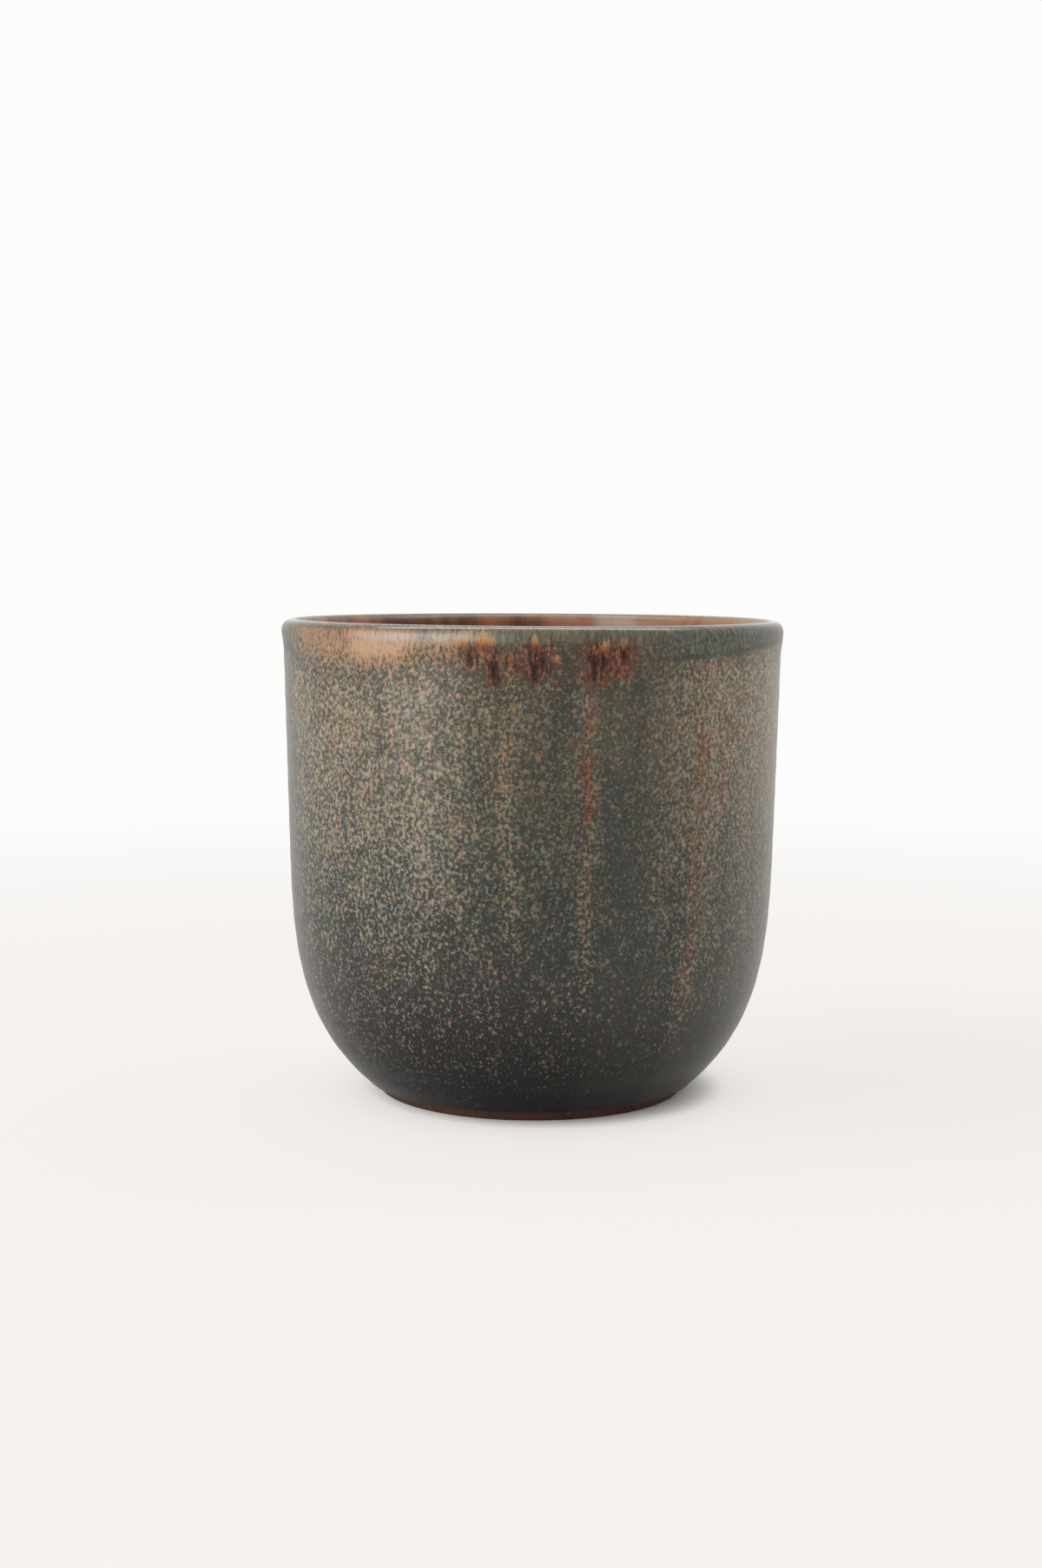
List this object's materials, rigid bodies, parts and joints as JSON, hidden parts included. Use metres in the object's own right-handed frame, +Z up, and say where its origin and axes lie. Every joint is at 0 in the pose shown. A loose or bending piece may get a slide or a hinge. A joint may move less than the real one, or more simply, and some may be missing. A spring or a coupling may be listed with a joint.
{
  "type": "coffee cup",
  "caption": "Handleless thrown stoneware coffee cup with a rounded belly, a bare turned foot and a speckled glaze that drips from the rim.",
  "frame": {"origin": "centre of the circle that the foot ring rests on, on the table plane", "axes": "+Z up along the axis the cup was turned on, -Y towards the side the picture shows, +X to the right of that view"},
  "size_m": [0.0852, 0.0852, 0.0807],
  "materials": {
    "bare_clay": "matte",
    "outer_glaze": "satin",
    "liner_glaze": "gloss",
    "rim_glaze": "satin"
  },
  "bodies": {
    "root": {"stoneware_body": "bare_clay", "outer_glaze": "outer_glaze", "liner_glaze": "liner_glaze", "rim_glaze": "rim_glaze"}
  },
  "joints": []
}
